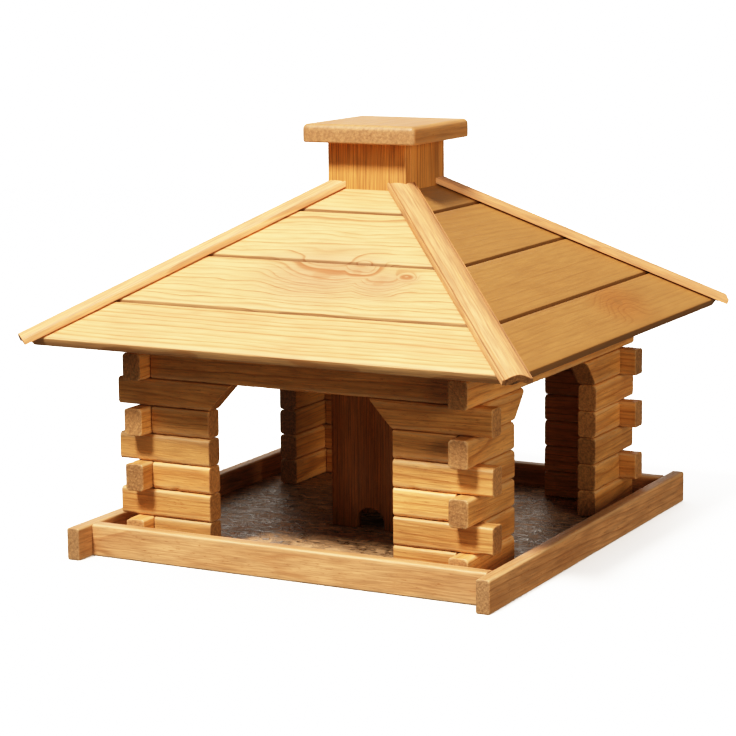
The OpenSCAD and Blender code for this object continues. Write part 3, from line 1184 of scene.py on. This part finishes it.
@dataclass
class Cap:
    """The lid of the column: a board with rounded edges on a locating block. Sizes in mm."""

    width: float = 108.0
    thick: float = 16.0
    soft: float = 4.8  # radius of its upper edges
    lower_soft: float = 1.6  # radius of its lower edges
    corner: float = 4.0  # radius of its corners, seen from above
    under: float = 347.3  # height of its underside
    turns: int = 6  # chords that round a corner
    parts: int = 24  # lengths that a side is divided into
    chip: float = 0.88  # depth of the chips in its edges

    def outline(self, inset: float) -> list[tuple[float, float, float, float]]:
        """Outline of the board seen from above.

        Args:
            inset: How far it lies inside the full outline, in mm.

        Returns:
            For each point: X and Y in mm, and the X and Y of its outward direction.
        """
        r = max(0.4, self.corner - inset)
        centre = self.width / 2 - inset - r
        run = 2 * centre / self.parts
        out = []
        for k, (sx, sy) in enumerate(QUARTER_TURNS):
            for j in range(self.turns + 1):
                a = math.radians(90 * (k + j / self.turns))
                nx, ny = math.cos(a), math.sin(a)
                out.append((sx * centre + r * nx, sy * centre + r * ny, nx, ny))
            x, y, _, _ = out[-1]
            out += [(x - ny * run * j, y + nx * run * j, nx, ny) for j in range(1, self.parts)]
        return out

    def profile(self) -> list[Triple]:
        """Profile of the edge from the underside to the top.

        Returns:
            For each point: inset and height in mm, and how much it lies on an arris.
        """
        low, high = self.lower_soft, self.soft
        out = [(low + 12.0, 0.0, 0.0), (low + 1.0, 0.0, 0.0)]
        for a in (math.radians(90 * k / 4) for k in range(5)):
            out.append((low * (1 - math.sin(a)), low * (1 - math.cos(a)), 0.6))
        middle = self.thick - high
        out += [(0.0, low + (middle - low) * k / 3, 0.1) for k in (1, 2)]
        for a in (math.radians(90 * k / 8) for k in range(9)):
            out.append((high * (1 - math.cos(a)), middle + high * math.sin(a), 0.35))
        return out + [(high + step, self.thick, 0.0) for step in (0.8, 5.0, 12.0, 26.0, 40.0)]

    def board(self) -> None:
        """The board, lofted from its underside to its top, with small chips in its edges."""
        name, figure = "cap_top_board", Figure(Cut.RIFT, "cap", tone=0.0)
        chip_mm, rare = 6.0, 0.15
        rings, places, wear = [], [], []
        for inset, up, edge in self.profile():
            slope = min(1.0, max(0.0, 1 - inset / self.soft * 1.6))
            rings.append([])
            for x, y, nx, ny in self.outline(inset):
                spot = Vector(figure.grain(y, x, up))
                bite = chipped(spot, chip_mm, rare, self.chip * edge)
                x, y = x - nx * bite, y - ny * bite
                rings[-1].append(Vector((x, y, self.under + up)) * MM)
                places.append((y, x, up))
                wear.append((abs(ny) * slope if abs(ny) > 0.5 else 0.0, edge * 0.7, 0.0))
        mesh = loft(name, rings, [list(range(len(rings[0])))])
        board = Timber(name=name, node="cap_board", finish=Finish.CAP, figure=figure, body=CAP)
        board.dress(mesh, places, wear)

    def build(self) -> None:
        """Builds the board and the block."""
        self.board()
        CutPiece(
            name="cap_locating_block", node="cap_block", finish=Finish.PLATE,
            figure=Figure(Cut.RIFT, "block"), body=CAP,
            axes=(Vector((0, 1, 0)), Vector((1, 0, 0)), Vector((0, 0, 1))),
        ).build()


# ---- studio ----


@dataclass
class Studio:
    """Camera, pale floor and soft light."""

    azimuth: float = 27.465  # the camera's direction from the front towards the right, in degrees
    elevation: float = 10.017  # its height above the horizon, in degrees
    roll: float = -0.471  # how far it leans, in degrees
    distance: float = 2.1071  # its distance from the target, in metres
    target: float = 0.150  # height of the target above the floor, in metres
    lens: float = 116.93  # focal length in mm
    sensor: float = 36.0  # width of the sensor in mm
    shift: Pair = (-0.0275, -0.0063)  # how far the lens is shifted, in widths of the picture
    brightest: float = 5.0  # light level that prints as white
    contrast: float = 1.3  # steepness of the print's dark tones

    def camera(self) -> None:
        """Sets up the camera."""
        a, e, r = (math.radians(x) for x in (self.azimuth, self.elevation, self.roll))
        back = Vector((math.sin(a) * math.cos(e), -math.cos(a) * math.cos(e), math.sin(e)))
        right = Vector((math.cos(a), math.sin(a), 0.0))
        up = back.cross(right)
        lens = bpy.data.cameras.new("camera")
        lens.lens, lens.sensor_width = self.lens, self.sensor
        lens.shift_x, lens.shift_y = self.shift
        lens.clip_start, lens.clip_end = 0.05, 200.0
        across = right * math.cos(r) + up * math.sin(r)
        above = up * math.cos(r) - right * math.sin(r)
        turn = Matrix((across, above, back)).transposed().to_4x4()
        place = Vector((0, 0, self.target)) + back * self.distance
        eye = self.set_up("camera", lens)
        eye.matrix_world = Matrix.Translation(place) @ turn
        bpy.context.scene.camera = eye

    def set_up(self, name: str, data: bpy.types.ID) -> bpy.types.Object:
        """Puts a camera, lamp or mesh into the scene.

        Args:
            name: The object's name.
            data: What it holds.

        Returns:
            The object.
        """
        thing = bpy.data.objects.new(name, data)
        bpy.context.scene.collection.objects.link(thing)
        return thing

    def lamp(
        self, name: str, kind: str, towards: Triple, energy: float, colour: str, size: float
    ) -> bpy.types.Object:
        """Adds one lamp that shines at the feeder.

        Args:
            name: Its name.
            kind: "SUN" or "AREA".
            towards: Direction from the feeder to the lamp.
            energy: Its strength.
            colour: Its colour.
            size: Angle of a sun in radians, or side of an area in metres.

        Returns:
            The lamp.
        """
        away = 3.0
        data = bpy.data.lights.new(name, kind)
        data.energy, data.color = energy, linear(colour)[:3]
        if kind == "SUN":
            data.angle = size
        else:
            data.shape, data.size = "SQUARE", size
        lamp = self.set_up(name, data)
        towards = Vector(towards).normalized()
        lamp.location = Vector((0, 0, self.target)) + towards * away
        lamp.rotation_mode = "QUATERNION"
        lamp.rotation_quaternion = towards.to_track_quat("Z", "Y")
        lamp.visible_camera = False
        return lamp

    def lights(self) -> None:
        """A soft key high in front, a low fill from the right, a low light behind, a dim room."""
        self.lamp("key", "SUN", (-0.10, -0.60, 0.86), 8.7, "#FFF8EC", 0.2)
        self.lamp("fill", "AREA", (1.0, -0.42, 0.14), 74.0, "#FFEBC8", 1.6)
        self.lamp("back", "AREA", (-0.5, 0.86, 0.2), 20.0, "#FFF2E4", 1.6)
        wash = self.lamp("floor_wash", "SUN", (0.0, 0.0, 1.0), 9.0, "#FFFFFF", 1.6)
        only_floor = bpy.data.collections.new("floor_only")
        only_floor.objects.link(bpy.data.objects["studio_floor"])
        wash.light_linking.receiver_collection = only_floor
        world = bpy.data.worlds.new("room")
        bpy.context.scene.world = world
        tree = cleared(world)
        spot = add(tree, "TexCoord", out="Generated")
        height = add(tree, "SeparateXYZ", (spot,), out="Z")
        share = add(tree, "MapRange", (height, -1.0, 1.0))
        ramp = add(tree, "ValToRGB", {"Fac": share})
        stops = ramp.node.color_ramp.elements
        stops[0].color = (0.62, 0.55, 0.47, 1.0)
        stops[1].position, stops[1].color = 0.86, (1.0, 0.98, 0.95, 1.0)
        for place, value in ((0.42, 0.42), (0.52, 0.14), (0.62, 0.3)):
            stops.new(place).color = (value, value * 0.91, value * 0.76, 1.0)
        glow = add(tree, "Background", {"Color": ramp, "Strength": 0.5})
        add(tree, "OutputWorld", {"Surface": glow})

    def print_curve(self) -> None:
        """Gives the picture the response of a photographic print.

        Each channel rises through a soft toe and rolls off gently below white, so that light
        wood goes pale instead of clipping, and wood in the shade goes deep and warm.
        """
        view = bpy.context.scene.view_settings
        view.view_transform = "Standard"
        view.use_curve_mapping = True
        mapping = view.curve_mapping
        mapping.white_level = (self.brightest,) * 3
        curve = mapping.curves[3]

        def printed(share: float) -> float:
            """How bright a share of the brightest light prints."""
            return 1 - math.exp(-((share * self.brightest) ** self.contrast))

        curve.points[0].location = (0.0, 0.0)
        curve.points[1].location = (1.0, printed(1.0))
        shares = (0.004, 0.01, 0.02, 0.035, 0.055, 0.08, 0.12, 0.17, 0.24, 0.33, 0.45, 0.6, 0.8)
        for share in shares:
            curve.points.new(share, printed(share))
        mapping.update()

    def floor(self) -> None:
        """Lays the pale floor, matt paint with a faint roller texture."""
        half = 60.0
        mesh = bpy.data.meshes.new("studio_floor")
        corners = [(half * x, half * y, 0) for x, y in QUARTER_TURNS[2:] + QUARTER_TURNS[:2]]
        mesh.from_pydata(corners, [], [(0, 1, 2, 3)])
        floor = self.set_up("studio_floor", mesh)
        material = bpy.data.materials.new("matt_white_paint_rolled")
        tree = cleared(material)
        place = add(tree, "TexCoord", out="Object")
        stipple = add(tree, "TexNoise", {"Vector": place, "Scale": 250.0})
        bump = add(tree, "Bump", {"Strength": 0.05, "Distance": 0.2 * MM, "Height": stipple})
        paint = add(tree, "BsdfDiffuse", {"Color": linear("#F7F6F4"), "Normal": bump})
        add(tree, "OutputMaterial", {"Surface": paint})
        mesh.materials.append(material)
        floor.visible_diffuse = False
        floor.visible_glossy = False


def main() -> None:
    """Builds the studio and every part of the feeder, and reports them."""
    studio = Studio()
    studio.camera()
    roof = Roof()
    for part in (Tray(), CornerPosts(), SeedColumn(), roof, HipStrips(roof), HipPlates(), Cap()):
        part.build()
        log.info("%s done", type(part).__name__)
    studio.floor()
    studio.lights()
    studio.print_curve()


if __name__ == "__main__":
    main()
